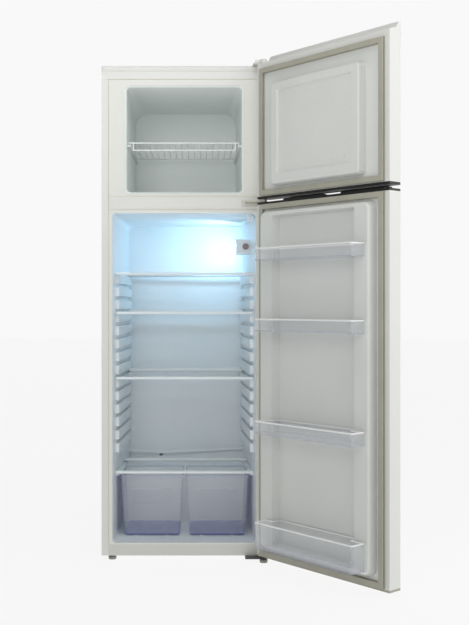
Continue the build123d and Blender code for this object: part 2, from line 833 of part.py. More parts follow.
def door_bin(z_low, z_high, rear_low):
    """Clear bin: a wide tray in front of the dikes and a narrow part that hangs between them."""
    w = bin_wall
    front_y = inner_face + bin_reach
    split_y = inner_face + dike_height + 1.5
    rear_y = inner_face + pan_height + 2.0
    wide = (-half + bin_free_inset, half - bin_hinge_inset)
    narrow = (-half + pocket_free_inset + bin_rear_gap, half - pocket_hinge_inset - bin_rear_gap)
    tray = block(*wide, split_y, front_y, z_low, z_high)
    tray = fillet(tray.edges().filter_by(Axis.Z).sort_by(Axis.Y)[-2:], 9.0)
    tray += block(*narrow, rear_y, split_y, rear_low, z_high)
    hollow = block(wide[0] + w, wide[1] - w, split_y + w, front_y - w, z_low + w, z_high)
    hollow = fillet(hollow.edges().filter_by(Axis.Z).sort_by(Axis.Y)[-2:], 9.0 - w)
    hollow += block(narrow[0] + w, narrow[1] - w, rear_y + w, split_y + w, rear_low + w, z_high)
    tray -= hollow
    tray += block(wide[0] + 6, wide[1] - 6, front_y - 5, front_y, z_high - 4, z_high)
    lug_y = inner_face + 12.0
    top = rear_low + 4 + boss_height + shelf_rest
    for edge, outward in ((narrow[1], 1), (narrow[0], -1)):
        x0, x1 = sorted((edge - outward, edge + outward * lug_reach))
        for y0 in (lug_y - lug - 0.3, lug_y + boss_width + 0.3):
            tray += block(x0, x1, y0, y0 + lug, rear_low + 4, top + 4)
        tray += block(x0, x1, lug_y - lug, lug_y + boss_width + lug, top, top + 4)
    return tray


def door_parts(name, z0, z1, low_cap, high_cap, bump):
    """Skin, liner and foam between the end caps; bump gives the raised liner at a shrink."""
    low, high = z0 + low_cap, z1 - high_cap
    bosses = rod(pivot_x, pivot_y, z0, bush_radius, bush_depth)
    bosses += rod(pivot_x, pivot_y, z1 - bush_depth, bush_radius, bush_depth)
    core = bump(liner_wall)
    foam = door_slab(sheet, low, high) - block(-half, half, inner_face - sheet, inner_face, low, high)
    foam = foam - liner_plate(low, high) + core - bosses
    parts[name + "_skin"] = swing_open(door_skin(low, high))
    parts[name + "_foam"] = swing_open(foam)
    parts[name + "_gasket"] = swing_open(gasket(z0, z1, low_cap, high_cap))
    return liner_plate(low, high) + bump(0.0) - core


def build_doors():
    plate = door_parts("freezer_door", freezer_door_low, freezer_door_high, cap, top_cap, freezer_door_liner)
    for button in dimple_grid():
        plate += button
    parts["freezer_door_liner"] = swing_open(plate)
    parts["freezer_door_top_cap"] = swing_open(freezer_top_cap())
    parts["freezer_door_bottom_cap"] = swing_open(freezer_bottom_cap())
    plate = door_parts("fridge_door", door_bottom, fridge_door_high, cap, cap, fridge_door_liner)
    for boss in bin_bosses():
        plate += boss
    parts["fridge_door_liner"] = swing_open(plate)
    parts["fridge_door_top_cap"] = swing_open(fridge_top_cap())
    parts["fridge_door_bottom_cap"] = swing_open(
        end_cap(door_bottom, door_bottom + cap, door_bottom, up=True)
    )
    for number, heights in enumerate(bin_levels(), start=1):
        parts[f"door_bin_{number}"] = swing_open(door_bin(*heights))


# ---------------------------------------------------------------- hinges
def hinge_tongue(z0, z1, rear, across=hinge_width):
    """Flat plate from the cabinet out to the pin, rounded round the pin."""
    plate = block(half - across, half, pivot_y, rear, z0, z1)
    return plate + rod(pivot_x, pivot_y, z0, pivot_inset, z1 - z0)


def middle_hinge():
    """Plate between the doors with a pin each way, on a tab screwed to the mullion."""
    low = split_middle - hinge_plate / 2
    high = split_middle + hinge_plate / 2
    washer = (door_split - hinge_plate) / 2 - shelf_rest
    plate = hinge_tongue(low, high, front)
    x0, x1 = half - hinge_width - 12, half - 10
    plate += block(x0, x1, front - bracket_tab, front, split_middle - 15, split_middle + 5)
    plate += rod(pivot_x, pivot_y, low - pin_length, pin_radius, 2 * pin_length + hinge_plate)
    for z in (high, low - washer):
        plate += rod(pivot_x, pivot_y, z, pin_radius + 3, washer)
    return plate


def top_hinge():
    """Plate on the cabinet's top with a pin down into the freezer door."""
    plate = hinge_tongue(body_high, body_high + 3, front + 75, top_hinge_width)
    pin_low = freezer_door_high - pin_length + 4
    return plate + rod(pivot_x, pivot_y, pin_low, pin_radius, body_high - pin_low + 1)


def top_hinge_cover():
    """Plastic cap over the top hinge and its pin."""
    low, high = body_high, body_high + hinge_cover_height
    x0, x1 = half - hinge_cover_width, half - 1
    rear = front + 84
    cover = block(x0, x1, pivot_y, rear, low, high) + rod(pivot_x, pivot_y, low, pivot_inset - 1, high - low)
    cover = fillet(cover.faces().sort_by(Axis.Z)[-1].edges(), 3.0)
    cover -= block(x0 + 2, x1 - 2, front + 2, rear - 2, low, high - 2)
    cover -= block(x0 - 1, half + 1, pivot_y, front + 75 + shelf_rest, low, low + 3 + shelf_rest)
    return cover - rod(pivot_x, pivot_y, low, pivot_inset + 1, 3 + shelf_rest)


def bottom_hinge():
    """Plate under the cabinet with a pin up into the fridge door and a threaded hole for a foot."""
    low = body_low - 5.0
    plate = hinge_tongue(low, body_low, front + 60)
    plate += rod(pivot_x, pivot_y, body_low - 1, pin_radius + 3, door_bottom - body_low + 1 - shelf_rest)
    plate += rod(pivot_x, pivot_y, body_low, pin_radius, door_bottom - body_low + pin_length - 2)
    return plate - rod(pivot_x, pivot_y, 0, stud_radius + thread_clearance, low + 4)


def build_hinges():
    parts["middle_hinge"] = middle_hinge()
    parts["top_hinge"] = top_hinge()
    parts["top_hinge_cover"] = top_hinge_cover()
    parts["bottom_hinge"] = bottom_hinge()
    y = front - bracket_tab - 2.2
    heads = [rod(x, y, split_middle - 6.5, 4, 2.2, "Y") for x in (half - 69.5, half - 36)]
    heads += [rod(x, front + 35, body_low - 7.2, 4, 2.2) for x in (half - 56, half - 24)]
    heads += [rod(half - 18, y, body_high + 3, 4.5, 2.5) for y in (front + 30, front + 58)]
    parts["hinge_screws"] = group(*heads)


# ---------------------------------------------------------------- feet, rollers and machine space
def foot(x, y, stud_top):
    """Turning foot: a ribbed-look disc on a threaded stud."""
    disc = rod(x, y, 0, foot_radius, foot_disc)
    disc = fillet(disc.edges().sort_by(Axis.Z)[0], 2.0)
    return disc + rod(x, y, foot_disc - 1, stud_radius, stud_top - foot_disc + 1)


roller_x = half - roller_inset
roller_y = back - roller_setback


def roller(side):
    wheel = rod(side * roller_x - roller_width / 2, roller_y, roller_radius, roller_radius, roller_width, "X")
    wheel = fillet(wheel.edges().filter_by(GeomType.CIRCLE), 2.0)
    return wheel - rod(side * roller_x - 10, roller_y, roller_radius, axle_radius + pin_clearance, 20, "X")


def compressor_plate():
    """Steel crossbar that carries the compressor, with ears and axles for the rear rollers."""
    inner = half - sheet
    high = plate_low + plate_thickness
    plate = block(-inner, inner, niche_front + 12, back - 5, plate_low, high)
    plate += block(-inner, inner, back - 7, back - 5, plate_low, plate_low + 14)
    slot_half = roller_width / 2 + 1.5
    for side in (-1, 1):
        x = side * roller_x
        reach = roller_radius + 3
        plate -= block(x - slot_half, x + slot_half, roller_y - reach, roller_y + reach, 0, 60)
        for edge in (x - slot_half - 2, x + slot_half):
            plate += block(edge, edge + 2, roller_y - 8, roller_y + 8, roller_radius - 7, high)
        plate += rod(x - slot_half - 3, roller_y, roller_radius, axle_radius, 2 * slot_half + 6, "X")
    return plate


can_y = (niche_front + back) / 2 - 2
can_low = plate_low + plate_thickness + grommet_height
foot_spots = [(compressor_x + dx, can_y + dy) for dx in (-82, 82) for dy in (-50, 50)]


def compressor():
    """Welded can on a pressed foot plate, with its terminal and pipe stubs."""
    can = rod(compressor_x, can_y, can_low + 1, can_radius, can_height)
    can = fillet(can.edges().filter_by(GeomType.CIRCLE), 30.0)
    can += rod(compressor_x, can_y, can_low + 66, can_radius + 3, 5)
    base = block(compressor_x - 92, compressor_x + 92, can_y - 60, can_y + 60, can_low, can_low + 3)
    base = fillet(base.edges().filter_by(Axis.Z), 10.0)
    for x, y in foot_spots:
        base -= rod(x, y, can_low - 1, 5, 6)
    return can + base


def pipe(points, radius, bend):
    """Round tube bent through a list of points."""
    path = FilletPolyline(*points, radius=bend)
    section = Plane(origin=path @ 0, z_dir=path % 0) * Circle(radius)
    return sweep(section, path=path)


condenser_half = half - condenser_margin
condenser_y = back + condenser_gap
condenser_low = niche_high + condenser_lift


def condenser():
    """Serpentine tube with vertical wires welded across it and four stand-off tabs."""
    points = []
    for run in range(condenser_runs):
        z = condenser_low + run * condenser_pitch
        ends = [(-condenser_half, condenser_y, z), (condenser_half, condenser_y, z)]
        points += ends if run % 2 else ends[::-1]
    coil = pipe(points, tube_radius, condenser_pitch / 2 - 4)
    high = condenser_low + (condenser_runs - 1) * condenser_pitch
    reach = condenser_half - 18
    y = condenser_y + tube_radius - 0.4
    for index in range(condenser_wires):
        x = -reach + 2 * reach * index / (condenser_wires - 1)
        coil += block(x - grid_wire / 2, x + grid_wire / 2, y, y + grid_wire, condenser_low - 20, high + 20)
    for x in (-reach + 12, reach - 12):
        for z in (condenser_low, high):
            coil += block(x - 9, x + 9, back, condenser_y, z - 5, z + 5)
    return coil


def build_machine():
    parts["foot_left"] = foot(-half + foot_inset, front + foot_setback, body_low + 24)
    parts["foot_right"] = foot(pivot_x, pivot_y, body_low - 1.2)
    parts["roller_left"] = roller(-1)
    parts["roller_right"] = roller(1)
    parts["compressor_plate"] = compressor_plate()
    parts["compressor"] = compressor()
    high = plate_low + plate_thickness
    grommets = []
    for x, y in foot_spots:
        grommets.append(rod(x, y, high, 9, grommet_height) + rod(x, y, high, 4.9, grommet_height + 5))
    parts["compressor_grommets"] = group(*grommets)
    box_x = compressor_x + can_radius
    box = block(box_x + 4, box_x + 44, can_y - 22, can_y + 22, can_low + 40, can_low + 90)
    box = fillet(box.edges().filter_by(Axis.X), 4.0)
    inlet = rod(box_x + 24, can_y + 21, can_low + 52, 7, 13, "Y")
    parts["start_relay_box"] = box + inlet
    tray_z = can_low + can_height + 3
    tray = block(compressor_x - 75, compressor_x + 75, niche_front + 20, back - 8, tray_z, tray_z + 26)
    tray = fillet(tray.edges().filter_by(Axis.Z), 12.0)
    well = block(compressor_x - 73, compressor_x + 73, niche_front + 22, back - 10, tray_z + 2, tray_z + 26)
    parts["drip_tray"] = tray - fillet(well.edges().filter_by(Axis.Z), 10.0)
    parts["drain_tube"] = drain(drain_radius) - drain(drain_bore)
    parts["condenser"] = condenser()
    lead_z = can_low + 105
    discharge = pipe(
        [
            (compressor_x + 40, can_y + 30, lead_z), (compressor_x + 170, can_y + 30, lead_z),
            (compressor_x + 170, condenser_y, lead_z), (condenser_half + 12, condenser_y, lead_z),
            (condenser_half + 12, condenser_y, condenser_low), (condenser_half, condenser_y, condenser_low),
        ],
        tube_radius, 5.5,
    )
    drier = rod(compressor_x + 200, can_y - 40, can_low + 20, 10, 90)
    parts["refrigerant_pipes"] = group(discharge - parts["compressor"], drier)


if __name__ == "__main__":
    os.makedirs("parts", exist_ok=True)
    build_cabinet()
    build_lamp()
    build_switch()
    build_inside()
    build_doors()
    build_hinges()
    build_machine()
    for name, shape in parts.items():
        export_step(shape, f"parts/{name}.step")
    print(len(parts), "parts written")
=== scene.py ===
# %% [markdown]
# # A refrigerator with its doors standing open
#
# The cabinet, doors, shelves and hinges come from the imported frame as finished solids. This file gives
# every one of them a surface, swaps the ones that need finer moulding for pieces modelled here, and sets
# up the studio. All lengths are metres. +Z is up and the doors face -Y.

# %% Load the frame
import json
import math

import bmesh
import bpy
from mathutils import Matrix, Vector


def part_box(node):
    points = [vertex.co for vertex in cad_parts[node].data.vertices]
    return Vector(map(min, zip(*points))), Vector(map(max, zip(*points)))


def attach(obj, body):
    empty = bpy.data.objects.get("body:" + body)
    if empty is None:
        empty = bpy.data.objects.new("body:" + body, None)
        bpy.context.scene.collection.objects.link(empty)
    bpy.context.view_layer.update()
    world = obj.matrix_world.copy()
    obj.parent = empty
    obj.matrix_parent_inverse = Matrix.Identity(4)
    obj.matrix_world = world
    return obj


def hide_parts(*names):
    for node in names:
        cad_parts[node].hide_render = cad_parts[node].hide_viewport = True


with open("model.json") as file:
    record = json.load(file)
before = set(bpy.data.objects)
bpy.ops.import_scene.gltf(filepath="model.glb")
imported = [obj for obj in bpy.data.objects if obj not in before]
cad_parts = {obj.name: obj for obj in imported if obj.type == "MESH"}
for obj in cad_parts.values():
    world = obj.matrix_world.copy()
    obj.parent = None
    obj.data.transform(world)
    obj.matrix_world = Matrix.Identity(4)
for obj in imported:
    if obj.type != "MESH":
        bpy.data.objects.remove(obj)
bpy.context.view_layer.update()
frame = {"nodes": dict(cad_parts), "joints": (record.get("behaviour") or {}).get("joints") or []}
nodes = frame["nodes"]
bpy.ops.object.select_all(action="DESELECT")

# %% [markdown]
# The doors were drawn shut and swung open about the hinge pin. To model a door's parts it is easiest
# to think of the door as shut, so this cell reads the pin from the door's joint and makes two matrices:
# one that swings a shut piece open, and one that takes an open piece back to shut.

# %% The swing of the doors
joints = {joint["name"]: joint for joint in frame["joints"]}
swing_joint = joints["fridge_door_swing"]
pin = Vector(swing_joint["pos_m"])
opening = math.radians(-swing_joint["range_deg"][0])
swing = Matrix.Translation(pin) @ Matrix.Rotation(opening, 4, "Z") @ Matrix.Translation(-pin)
unswing = swing.inverted()


def shut_box(node):
    """Lowest and highest corner of a door's node with the door shut."""
    points = [unswing @ vertex.co for vertex in nodes[node].data.vertices]
    low = Vector(min(point[axis] for point in points) for axis in range(3))
    high = Vector(max(point[axis] for point in points) for axis in range(3))
    return low, high


pin_place = tuple(round(value, 4) for value in pin)
print("pin at", pin_place, "opened by", round(math.degrees(opening)), "degrees")

# %% [markdown]
# Shader nodes are easier to read as arithmetic. `Signal` wraps one output socket, so that `1 - mask` or
# `grain * 0.2` adds the Math node it stands for. `Finish` is one material: its `node` method adds any
# other node from its type, its settings and its inputs.

# %% A small language for shader nodes
class Signal:
    """One output socket that can be added, subtracted and multiplied."""

    def __init__(self, finish, socket):
        self.finish = finish
        self.socket = socket

    def math(self, operation, first, second=0.0):
        settings = {"operation": operation, "use_clamp": False}
        return self.finish.node("ShaderNodeMath", settings, {0: first, 1: second})

    def __add__(self, other):
        return self.math("ADD", self, other)

    def __radd__(self, other):
        return self.math("ADD", other, self)

    def __sub__(self, other):
        return self.math("SUBTRACT", self, other)

    def __rsub__(self, other):
        return self.math("SUBTRACT", other, self)

    def __mul__(self, other):
        return self.math("MULTIPLY", self, other)

    def __rmul__(self, other):
        return self.math("MULTIPLY", other, self)

    def below(self, limit):
        """One where the value is under the limit."""
        return self.math("LESS_THAN", self, limit)

    def ramp(self, low, high):
        """Rises smoothly from nought to one between two values."""
        inputs = {"Value": self, "From Min": low, "From Max": high}
        return self.finish.node("ShaderNodeMapRange", {"interpolation_type": "SMOOTHSTEP"}, inputs)

    def either(self, other):
        return self.math("MAXIMUM", self, other)

    def size(self):
        """The value without its sign."""
        return self.math("ABSOLUTE", self)


class Finish:
    """One material, with its Principled shader and a few patterns on Object coordinates."""

    def __init__(self, name, **constants):
        self.material = bpy.data.materials.new(name)
        self.material.use_nodes = True
        self.tree = self.material.node_tree
        self.shader = self.tree.nodes["Principled BSDF"]
        for key, value in constants.items():
            self.shader.inputs[key.replace("_", " ")].default_value = value
        self.place = self.node("ShaderNodeTexCoord", output="Object")

    def plug(self, socket, value):
        if isinstance(value, Signal):
            self.tree.links.new(value.socket, socket)
        else:
            socket.default_value = value

    def node(self, kind, settings=None, inputs=None, output=0):
        made = self.tree.nodes.new(kind)
        for key, value in (settings or {}).items():
            if key == "stops":
                for (position, shade), stop in zip(value, made.color_ramp.elements):
                    stop.position, stop.color = position, shade
            else:
                setattr(made, key, value)
        for key, value in (inputs or {}).items():
            self.plug(made.inputs[key], value)
        return Signal(self, made.outputs[output])

    def set(self, name, value):
        self.plug(self.shader.inputs[name], value)

    def axes(self):
        """The three object coordinates as separate values."""
        split = self.node("ShaderNodeSeparateXYZ", {}, {0: self.place}).socket.node
        return [Signal(self, output) for output in split.outputs]

    def noise(self, scale, detail=2.0, stretch=(1, 1, 1), roughness=0.5):
        """Soft random pattern, this many blobs per metre."""
        vector = self.place
        if stretch != (1, 1, 1):
            vector = self.node("ShaderNodeMapping", {}, {"Vector": self.place, "Scale": stretch})
        inputs = {"Vector": vector, "Scale": scale, "Detail": detail, "Roughness": roughness}
        return self.node("ShaderNodeTexNoise", {}, inputs)

    def cells(self, scale, output="Distance"):
        """Voronoi cells, this many per metre."""
        return self.node("ShaderNodeTexVoronoi", {}, {"Vector": self.place, "Scale": scale}, output)

    def blend(self, share, first, second):
        """First colour where the share is nought, second where it is one."""
        made = self.tree.nodes.new("ShaderNodeMix")
        made.data_type = "RGBA"
        self.plug(made.inputs[0], share)
        self.plug(made.inputs[6], first)
        self.plug(made.inputs[7], second)
        return Signal(self, made.outputs[2])

    def bump(self, height, strength, distance):
        inputs = {"Strength": strength, "Distance": distance, "Height": height}
        self.set("Normal", self.node("ShaderNodeBump", {}, inputs))


def rgb(red, green, blue):
    """A display colour, 0 to 255, as linear light."""
    linear = []
    for value in (red, green, blue):
        share = value / 255
        linear.append(share / 12.92 if share <= 0.04045 else ((share + 0.055) / 1.055) ** 2.4)
    return (*linear, 1.0)


def dress(finish, *names):
    """Puts a finish on CAD nodes."""
    for name in names:
        mesh = nodes[name].data
        if not mesh.materials:
            mesh.materials.append(finish.material)
        for index in range(len(mesh.materials)):
            mesh.materials[index] = finish.material


# %% [markdown]
# **Painted steel.** The cabinet's wrap and the door skins are steel sheet under white powder paint. Such
# paint is never quite flat: it has a fine orange peel, which only the highlights show, and its tone
# drifts a little over the panel. Both are noise, one very fine in the bump and one broad in the colour.

# %% White paint
def painted(name, tone, shade, peel, roughness):
    paint = Finish(name, Specular_IOR_Level=0.4, Coat_Weight=0.15)
    drift = paint.noise(2.5, 3.0)
    fleck = paint.noise(900.0, 1.0)
    paint.set("Base Color", paint.blend(drift * 0.7 + fleck * 0.3, shade, tone))
    paint.set("Roughness", roughness + paint.noise(30.0, 3.0) * 0.12)
    paint.bump(paint.noise(peel, 2.0), 0.12, 0.0004)
    return paint


shell_paint = painted("shell_paint", rgb(225, 226, 221), rgb(216, 217, 212), 420.0, 0.36)
rail_paint = painted("rail_paint", rgb(214, 215, 209), rgb(203, 204, 198), 300.0, 0.45)
dress(shell_paint, "outer_shell", "freezer_door_skin", "fridge_door_skin", "mullion_cover")
dress(rail_paint, "base_pan")

# %% [markdown]
# **Vacuum-formed liner.** The compartments and the inner faces of the doors are white polystyrene sheet,
# drawn hot over a mould. The sheet thins where it is drawn deep, so its tone shifts slowly, and its
# surface is satin with a very fine grain.

# %% Liner plastic
def moulded(name, tone, shade, roughness, grain=700.0, depth=0.1):
    plastic = Finish(name, Specular_IOR_Level=0.45)
    drift = plastic.noise(5.0, 2.0)
    plastic.set("Base Color", plastic.blend(drift, shade, tone))
    plastic.set("Roughness", roughness + plastic.noise(60.0, 2.0) * 0.1)
    plastic.bump(plastic.noise(grain, 3.0), depth, 0.0003)
    return plastic


def lined(name, tone, shade, plate_tone, roughness):
    """Liner plastic whose flat front plate is nearer the shell's tone than the tub behind it."""
    plastic = moulded(name, tone, shade, roughness)
    _, depth, _ = plastic.axes()
    plate = depth.below(front_plane + plate_margin)
    tub = plastic.blend(plastic.noise(5.0, 2.0), shade, tone)
    plastic.set("Base Color", plastic.blend(plate, tub, plate_tone))
    return plastic


front_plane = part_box("outer_shell")[0].y
plate_margin = 0.0012  # how far behind the front plane still counts as the flat plate
plate_white = rgb(222, 223, 217)
cabinet_plastic = lined("cabinet_plastic", rgb(236, 241, 243), rgb(228, 233, 236), plate_white, 0.3)
freezer_plastic = lined("freezer_plastic", rgb(240, 245, 243), rgb(232, 238, 236), plate_white, 0.34)
door_plastic = moulded("door_plastic", rgb(220, 222, 218), rgb(211, 213, 209), 0.32)
cover_plastic = moulded("cover_plastic", rgb(224, 225, 220), rgb(215, 216, 211), 0.42, 1500.0, 0.25)
dress(cabinet_plastic, "fridge_liner", "lamp_housing", "switch_housing", "switch_plunger")
dress(freezer_plastic, "freezer_liner")
dress(door_plastic, "freezer_door_liner", "fridge_door_liner")
dress(cover_plastic, "top_cover", "freezer_door_top_cap", "top_hinge_cover", "mullion_plugs")

# %% [markdown]
# **Black plastic and black paint.** The door ends between the doors, the relay box and the drip tray are
# injection-moulded with a leather-like grain. The condenser, the compressor and the bottom hinge are
# dipped in black paint, which is smoother and gathers dust in patches.

# %% Black plastic and black paint
def grained_black(name, roughness):
    plastic = Finish(name, Specular_IOR_Level=0.5)
    grain = plastic.cells(1400.0)
    plastic.set("Base Color", plastic.blend(plastic.noise(40.0, 2.0), rgb(24, 24, 23), rgb(38, 38, 36)))
    plastic.set("Roughness", roughness + grain * 0.2)
    plastic.bump(grain, 0.35, 0.0003)
    return plastic


def dusty_black(name):
    paint = Finish(name, Specular_IOR_Level=0.5, Coat_Roughness=0.2)
    dust = paint.noise(25.0, 4.0, roughness=0.65).ramp(0.48, 0.75)
    paint.set("Base Color", paint.blend(dust * 0.5, rgb(26, 26, 26), rgb(92, 90, 86)))
    paint.set("Roughness", 0.3 + dust * 0.4)
    paint.set("Coat Weight", 0.5 - dust * 0.4)
    paint.bump(paint.noise(500.0, 2.0), 0.1, 0.0003)
    return paint


black_plastic = grained_black("black_plastic", 0.3)
black_paint = dusty_black("black_paint")
dress(black_plastic, "freezer_door_bottom_cap", "fridge_door_top_cap")
dress(black_plastic, "start_relay_box", "drip_tray")
dress(black_paint, "bottom_hinge", "condenser", "compressor")

# %% [markdown]
# **Zinc-plated steel.** The rear panel, the crossbar and the hinges' screws are galvanised. Zinc freezes
# on the sheet in flat crystals, the spangle, each with its own shade and polish, so Voronoi cells drive
# both. The aluminium cold plates have the same finish with larger cells. The top and middle hinges are
# painted beige, and the pipes are tarnished copper.

# %% Zinc, aluminium, beige paint and copper
def spangled(name, tone, shade, per_metre, roughness):
    zinc = Finish(name, Metallic=0.85, Specular_IOR_Level=0.5)
    crystal = zinc.cells(per_metre, "Color")
    shine = zinc.node("ShaderNodeRGBToBW", {}, {0: crystal})
    zinc.set("Base Color", zinc.blend(shine, shade, tone))
    zinc.set("Roughness", roughness + shine * 0.16)
    zinc.bump(zinc.noise(240.0, 3.0), 0.1, 0.0004)
    return zinc


zinc_steel = spangled("zinc_steel", rgb(206, 208, 208), rgb(178, 181, 182), 90.0, 0.34)
cold_plate = spangled("cold_plate", rgb(214, 214, 214), rgb(196, 196, 196), 30.0, 0.3)
dress(zinc_steel, "rear_panel", "compressor_plate", "hinge_screws")
dress(cold_plate, "evaporator_plates")

beige_steel = painted("beige_steel", rgb(214, 212, 200), rgb(200, 198, 186), 300.0, 0.4)
dress(beige_steel, "middle_hinge", "top_hinge")

copper = Finish("copper_tube", Metallic=1.0)
tarnish = copper.noise(60.0, 4.0).ramp(0.4, 0.7)
copper.set("Base Color", copper.blend(tarnish, rgb(205, 127, 92), rgb(128, 82, 62)))
copper.set("Roughness", 0.25 + tarnish * 0.3)
copper.bump(copper.noise(700.0, 1.0), 0.08, 0.0002)
dress(copper, "refrigerant_pipes")

# %% [markdown]
# **Rubber, foam and small plastics.** The gaskets and the larder door's bottom cap are soft PVC in a
# warm grey. The foam only shows in the cut edges. The feet and rollers are grey nylon.

# %% Rubber, foam and nylon
def soft_matte(name, tone, shade, grain, roughness, depth):
    skin = Finish(name, Specular_IOR_Level=0.3)
    cloud = skin.noise(18.0, 3.0)
    skin.set("Base Color", skin.blend(cloud, shade, tone))
    skin.set("Roughness", roughness + skin.noise(90.0, 2.0) * 0.15)
    skin.bump(skin.noise(grain, 3.0), depth, 0.0004)
    return skin


gasket_rubber = soft_matte("gasket_rubber", rgb(178, 176, 162), rgb(160, 158, 145), 500.0, 0.55, 0.2)
black_rubber = soft_matte("black_rubber", rgb(38, 38, 38), rgb(24, 24, 24), 600.0, 0.6, 0.3)
foam_skin = soft_matte("foam_skin", rgb(222, 208, 164), rgb(204, 188, 142), 260.0, 0.85, 0.6)
nylon = soft_matte("nylon", rgb(150, 150, 144), rgb(128, 128, 122), 800.0, 0.4, 0.15)
wire_coat = soft_matte("wire_coat", rgb(233, 238, 238), rgb(222, 228, 229), 500.0, 0.25, 0.1)
dial_plastic = soft_matte("dial_plastic", rgb(160, 146, 146), rgb(140, 126, 128), 700.0, 0.4, 0.1)
drain_plastic = soft_matte("drain_plastic", rgb(210, 212, 212), rgb(190, 192, 192), 400.0, 0.4, 0.1)
dress(gasket_rubber, "freezer_door_gasket", "fridge_door_gasket")
dress(black_rubber, "compressor_grommets")
dress(foam_skin, "cabinet_foam", "freezer_door_foam", "fridge_door_foam")
dress(nylon, "foot_left", "foot_right", "roller_left", "roller_right")
dress(gasket_rubber, "fridge_door_bottom_cap")
dress(wire_coat, "freezer_shelf")
dress(dial_plastic, "thermostat_dial")
dress(drain_plastic, "drain_tube")

# %% [markdown]
# ** Glass and clear plastic.** A pane or a thin moulding is seen through, so Alpha does the work here:
# light passes straight on, and the rest of the shader gives the tint and the gloss. Glass is slightly
# green all over. The clear polystyrene has painted shade: a darker violet tone and more alpha where the
# sheet is seen edge-on.

# %% Glass and clear plastic
def clear(name, tone, edge_tone, body_alpha, roughness=0.08):
    sheet = Finish(name, Specular_IOR_Level=0.5, IOR=1.5)
    smear = sheet.noise(14.0, 3.0)
    sheet.set("Base Color", sheet.blend(smear * 0.3, tone, edge_tone))
    sheet.set("Roughness", roughness + smear * 0.08)
    sheet.set("Alpha", body_alpha + smear * 0.06)
    sheet.bump(sheet.noise(120.0, 2.0), 0.05, 0.0003)
    return sheet


pane_glass = clear("pane_glass", rgb(214, 228, 226), rgb(150, 182, 174), 0.1)


def drawer_plastic(name):
    """Clear polystyrene with painted shade: darker violet and less see-through along its sides, corners
    and floor, as if seen edge-on.
    """
    low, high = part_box("crisper_right")
    sheet = clear(name, rgb(186, 194, 206), rgb(160, 168, 186), 0.34, 0.06)
    across, _, height = sheet.axes()
    side_lean = 0.012  # each side wall leans out by this from floor to rim
    lean = (height - low.z) * (side_lean / (high.z - low.z))
    # Painted shade: the sides, corners and floor get a darker violet tone and more alpha, standing in
    # for the sheet seen edge-on.
    painted_side_shade = (across.size() - lean).ramp(high.x - 0.0175, high.x - 0.0145)
    painted_floor_shade = (height * -1.0).ramp(-low.z - 0.009, -low.z - 0.004)
    near_rim = height.ramp(high.z - 0.0048, high.z - 0.0038)
    painted_edge_shade = painted_side_shade.either(painted_floor_shade)
    tint = sheet.blend(painted_edge_shade, rgb(236, 240, 245), rgb(138, 146, 208))
    sheet.set("Base Color", sheet.blend(near_rim, tint, rgb(196, 206, 228)))
    sheet.set("Alpha", painted_edge_shade.either(near_rim) * 0.42 + 0.1)
    return sheet


def bin_plastic(number):
    """Clear bin with a white rim, and a little painted violet shade along its floor, as if seen edge-on.
    """
    low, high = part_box(f"door_bin_{number}")
    sheet = clear(f"bin_plastic_{number}", rgb(226, 229, 232), rgb(200, 204, 214), 0.16, 0.06)
    _, _, height = sheet.axes()
    near_rim = height.ramp(high.z - 0.0046, high.z - 0.0036)
    # Painted shade: the floor edge gets a violet tone and more alpha, standing in for the sheet seen
    # edge-on.
    painted_floor_shade = (height * -1.0).ramp(-low.z - 0.0032, -low.z - 0.0022)
    tint = sheet.blend(painted_floor_shade, rgb(226, 229, 232), rgb(186, 190, 206))
    sheet.set("Base Color", sheet.blend(near_rim, tint, rgb(246, 247, 246)))
    sheet.set("Alpha", near_rim * 0.7 + painted_floor_shade * 0.25 + 0.15)
    return sheet


clear_plastic = drawer_plastic("clear_plastic")
lens_plastic = clear("lens_plastic", rgb(235, 243, 250), rgb(210, 225, 240), 0.5)
bulb_glass = clear("bulb_glass", rgb(245, 250, 255), rgb(230, 240, 250), 0.7)
trim_plastic = moulded("trim_plastic", rgb(240, 244, 244), rgb(228, 233, 234), 0.2)
dress(pane_glass, "shelf_1_glass", "shelf_2_glass", "shelf_3_glass", "crisper_cover_glass")
dress(trim_plastic, "shelf_1_trim", "shelf_2_trim", "shelf_3_trim", "crisper_cover_trim")
dress(clear_plastic, "crisper_left", "crisper_right")
for number in range(1, 5):
    dress(bin_plastic(number), f"door_bin_{number}")
dress(lens_plastic, "lamp_lens")
dress(bulb_glass, "lamp_bulb")

# %% [markdown]
# **Gaskets.** A door gasket is an extruded rubber profile, mitred and welded into a rectangle. It is
# modelled the same way: a plane gives the four corners, its edges are extruded once for each point of
# the profile, and the corners of every new loop are set to that point's distance from the door's edge
# and height above the door. Bridging the last loop to the first closes the tube.

# %% Gasket profile and ring
def across_and_up(points):
    """Profile points in metres from millimetres."""
    return [(across / 1000, up / 1000) for across, up in points]


outer_flank = [(0.5, 0.0), (0.0, 0.6), (0.0, 2.3), (0.7, 2.9)]  # base
outer_flank += [(3.4, 3.1), (4.6, 3.9), (3.4, 4.8), (4.6, 5.7)]  # folds of the bellows
outer_flank += [(3.4, 6.4), (1.7, 6.6), (1.0, 7.3), (1.0, 10.8), (1.9, 11.6)]  # magnet head
gasket_width = 18.0
inner_flank = [(gasket_width - across, up) for across, up in reversed(outer_flank)]
profile = across_and_up(outer_flank + inner_flank)


def set_loop(loop, corners, inset, height, low, high):
    """Moves one loop's four corners in from the rectangle low-high and up to a height."""
    for vertex, (side_x, side_z) in zip(loop, corners):
        x = high.x - inset if side_x else low.x + inset
        z = high.z - inset if side_z else low.z + inset
        vertex.co = (x, low.y + height, z)


